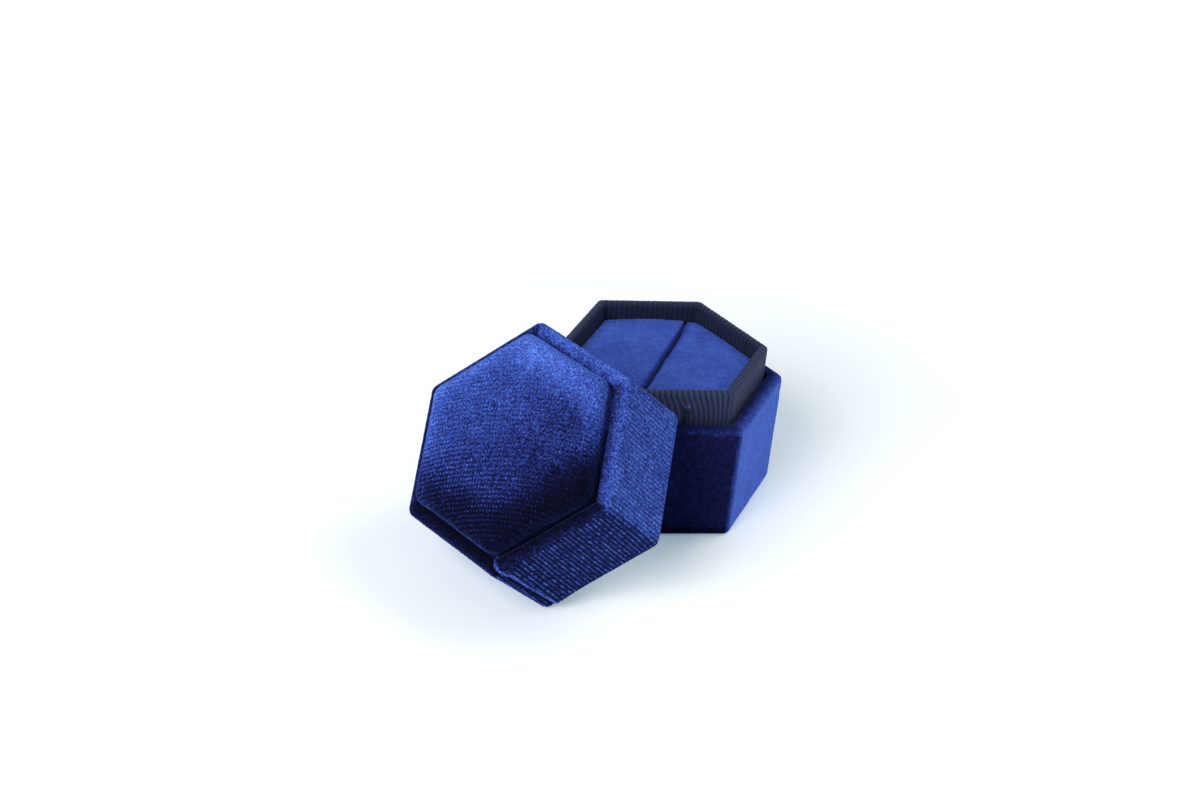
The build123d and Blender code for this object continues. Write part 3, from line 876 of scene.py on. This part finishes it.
def lid_face():
    """Padded face: knit rows across it, with painted sheen on its left edges, painted light on its upper right
    and on a brushed patch at its top, and painted shade on its lower shoulder and down into the groove.
    """
    made = swelled(
        "lid_face_pad",
        face_form(),
        voxel=0.55,
        held_below=LID - 0.2,
        hold=0.12,
        pressure=16.0,
        cap=0.6,
        spread=0.2,
    )
    points, normals = points_of(made.data) / MM, normals_of(made.data)
    x, y, height = points.T
    across = y * math.cos(ROW_TURN) - x * math.sin(ROW_TURN)
    along = x * math.cos(ROW_TURN) + y * math.sin(ROW_TURN)
    cloth = np.stack([across + ROW_BOW * along**2, along, height + 50], 1)
    sway = noise3(points * (0.2, 0.2, 0), 51)
    tufts = pile(cloth, 52)
    uneven = noise3(points * 0.3, 54) * smooth(26.0, 24.0, height) * smooth(21.0, 22.5, height)
    upper_right, top, upper_left, lower_left, bottom, lower_right = (
        x * math.cos(HALF_TURN + k * TURN) + y * math.sin(HALF_TURN + k * TURN) for k in range(SIDES)
    )

    shift = FACE_SHIFT * (0.5 + 0.5 * smooth(-8, 14, x))[:, None]
    shift[:, 2] = -FACE_DROP * smooth(14, 20.5, np.maximum(upper_left, lower_left))
    shift *= smooth(20.5, 24.5, height)[:, None]
    move_points(made, points + shift + normals * (0.06 * tufts + 0.2 * uneven)[:, None])

    # Painted sheen on the left edges, painted light on the upper right and on a brushed patch at the top,
    # painted shade on the lower shoulder and down into the groove
    zones = {"tufts": tufts, "under": smooth(23.8, 22.6, height)}
    zones["brushed_lit_patch"] = smooth(10, 17, top + 2.5 * sway) * smooth(-14, -6, x)
    zones["left"] = smooth(15.5, 20.5, lower_left) + smooth(15.5, 20.5, upper_left)
    zones["low"] = smooth(10, 19, np.maximum(lower_right, bottom) + 1.5 * sway)
    zones["right"] = smooth(16, 19.5, upper_right) * (1 - zones["low"]) * (1 - zones["brushed_lit_patch"])
    nap = FACE_NAP + FACE_LIGHT_SLOPE * upper_left
    nap = nap + sum(part * zones[zone] for zone, part in FACE_LIGHT_AND_TUFTS.items())
    knit = (1 - 0.7 * zones["brushed_lit_patch"]) * (0.45 + 0.65 * smooth(0, 14, -top))
    set_values(made, nap=nap, cloth=cloth, knit=knit)
    made.data.transform(LEAN)
    return made


face = finish_piece(lid_face(), lid_velvet, "lid", "velvet", "lid_face_velvet", "lid_face_foam")

SLOT_SKEW, SLOT_END = 0.082, 1.8


def ring_pad(side):
    """One ring pad. The slot is a little askew, so each pad fills the ribbon's corner at one end of it."""
    made = swelled(
        f"{side}_ring_pad",
        hull_of(f"{side}_pad_velvet"),
        voxel=0.7,
        held_below=PAD_EDGE - 2.2,
        hold=0.4,
        pressure=4.0,
        cap=0.2,
    )
    points, normals = points_of(made.data) / MM, normals_of(made.data)
    x, y, _ = points.T
    tufts = noise3(points * 1.6, 61)
    across = x * math.sin(TURN) - y * math.cos(TURN)
    along = x * math.cos(TURN) + y * math.sin(TURN)
    from_slot = np.abs(across)
    near_slot = smooth(2.5, 0.2, from_slot)
    widened = (across * along > 0) * smooth(12, 19.5, np.abs(along)) * near_slot
    moved = points + normals * (0.02 * tufts)[:, None]
    moved[:, 0] -= SLOT_SKEW * y * near_slot
    moved[:, 1] += SLOT_END * np.sign(along) * widened
    move_points(made, moved)
    # Painted shade down into the slot between the pads
    nap = 0.65 + 0.05 * tufts - 0.25 * smooth(1.3, 0.3, from_slot)
    set_values(made, nap=nap, cloth=points, knit=0 * tufts)
    return made


for side in ("left", "right"):
    nodes = f"{side}_pad_velvet", f"{side}_pad_foam"
    pad = finish_piece(ring_pad(side), pad_velvet, "base", "pad_velvet", *nodes)

# Floor, light and camera, in metres

FLOOR_HALF = 4.0
FLOOR_LIT, FLOOR_SEEN = (0.90, 0.92, 0.94, 1), (0.98, 0.93, 0.88, 1)
FLOOR_GLOW = [(0.09, (0.15, 0.24, 0.31)), (0.30, (1, 1, 1))]
WORLD_COLOUR, WORLD_STRENGTH = (0.93, 0.96, 1.0, 1), 0.24
LIGHT_TARGET, LIGHT_SIZE = Vector((-0.01, -0.01, 0.02)), 0.7
CAMERA_TARGET, CAMERA_DISTANCE = Vector((-6.483, 32.391, 0)) * MM, 572.23 * MM
CAMERA_AZIMUTH, CAMERA_ELEVATION, CAMERA_ROLL = (math.radians(a) for a in (-11.325, 30.999, 6.474))
SENSOR, LENS = 36.0, 72.0


def where_seen(tree, lit, seen):
    """One shader for light, and another for rays that show it: the camera's, mirrored and through glass."""
    path = add(tree, "ShaderNodeLightPath").outputs
    shown = math_node(tree, "MAXIMUM", path["Is Camera Ray"], path["Is Glossy Ray"])
    shown = math_node(tree, "MAXIMUM", shown, path["Is Transmission Ray"])
    mixed = add(tree, "ShaderNodeMixShader", {0: shown, 1: lit.outputs[0], 2: seen.outputs[0]})
    output = next(node for node in tree.nodes if node.name.endswith("Output"))
    tree.links.new(mixed.outputs[0], output.inputs["Surface"])


def stage_floor():
    """Pale floor that keeps the shadow, and burns out to white away from the box."""
    mesh = bpy.data.meshes.new("floor")
    corners = [(-1, -1), (1, -1), (1, 1), (-1, 1)]
    mesh.from_pydata([(x * FLOOR_HALF, y * FLOOR_HALF, 0) for x, y in corners], [], [(0, 1, 2, 3)])
    floor = link(bpy.data.objects.new("floor", mesh))
    material, tree, lit = nodes_of("pale_floor")
    set_inputs(lit, {"Base Color": FLOOR_LIT, "Roughness": 0.9, "Specular IOR Level": 0.0})
    diffuse = add(tree, "ShaderNodeBsdfDiffuse", {"Color": FLOOR_SEEN})
    place = add(tree, "ShaderNodeTexCoord").outputs["Object"]
    away = add(tree, "ShaderNodeVectorMath", {0: place}, operation="LENGTH").outputs["Value"]
    glow = add(tree, "ShaderNodeEmission", {"Color": ramp(tree, away, FLOOR_GLOW), "Strength": 1.0})
    where_seen(tree, lit, add(tree, "ShaderNodeAddShader", {0: diffuse.outputs[0], 1: glow.outputs[0]}))
    mesh.materials.append(material)


def world():
    """Dim, even light, with a white background."""
    made = bpy.data.worlds.new("studio")
    made.use_nodes = True
    tree = made.node_tree
    light = tree.nodes["Background"]
    set_inputs(light, {"Color": WORLD_COLOUR, "Strength": WORLD_STRENGTH})
    where_seen(tree, light, add(tree, "ShaderNodeBackground", {"Color": (1, 1, 1, 1), "Strength": 1.0}))
    bpy.context.scene.world = made


def area_light(name, place, power):
    data = bpy.data.lights.new(name, "AREA")
    data.shape, data.size, data.energy = "DISK", LIGHT_SIZE, power
    lamp = link(bpy.data.objects.new(name, data))
    lamp.location = place
    lamp.rotation_mode = "QUATERNION"
    lamp.rotation_quaternion = (LIGHT_TARGET - Vector(place)).to_track_quat("-Z", "Y")


def camera():
    """The photo's camera, from the fit to the outlines of the box."""
    sine, cosine = math.sin(CAMERA_AZIMUTH), math.cos(CAMERA_AZIMUTH)
    level = math.cos(CAMERA_ELEVATION)
    back = Vector((sine * level, -cosine * level, math.sin(CAMERA_ELEVATION)))
    right = Vector((cosine, sine, 0))
    up = back.cross(right)
    turned_right = right * math.cos(CAMERA_ROLL) + up * math.sin(CAMERA_ROLL)
    turned_up = up * math.cos(CAMERA_ROLL) - right * math.sin(CAMERA_ROLL)
    data = bpy.data.cameras.new("camera")
    data.sensor_width, data.lens = SENSOR, LENS
    data.clip_start, data.clip_end = 0.01, 20
    made = link(bpy.data.objects.new("camera", data))
    turn = Matrix((turned_right, turned_up, back)).transposed().to_4x4()
    made.matrix_world = Matrix.Translation(CAMERA_TARGET + back * CAMERA_DISTANCE) @ turn
    bpy.context.scene.camera = made


stage_floor()
world()
area_light("key", (-0.62, -0.62, 0.63), 10.4)
area_light("side", (0.60, 0.12, 0.80), 3.0)
camera()
bpy.context.scene.view_settings.view_transform = "Standard"
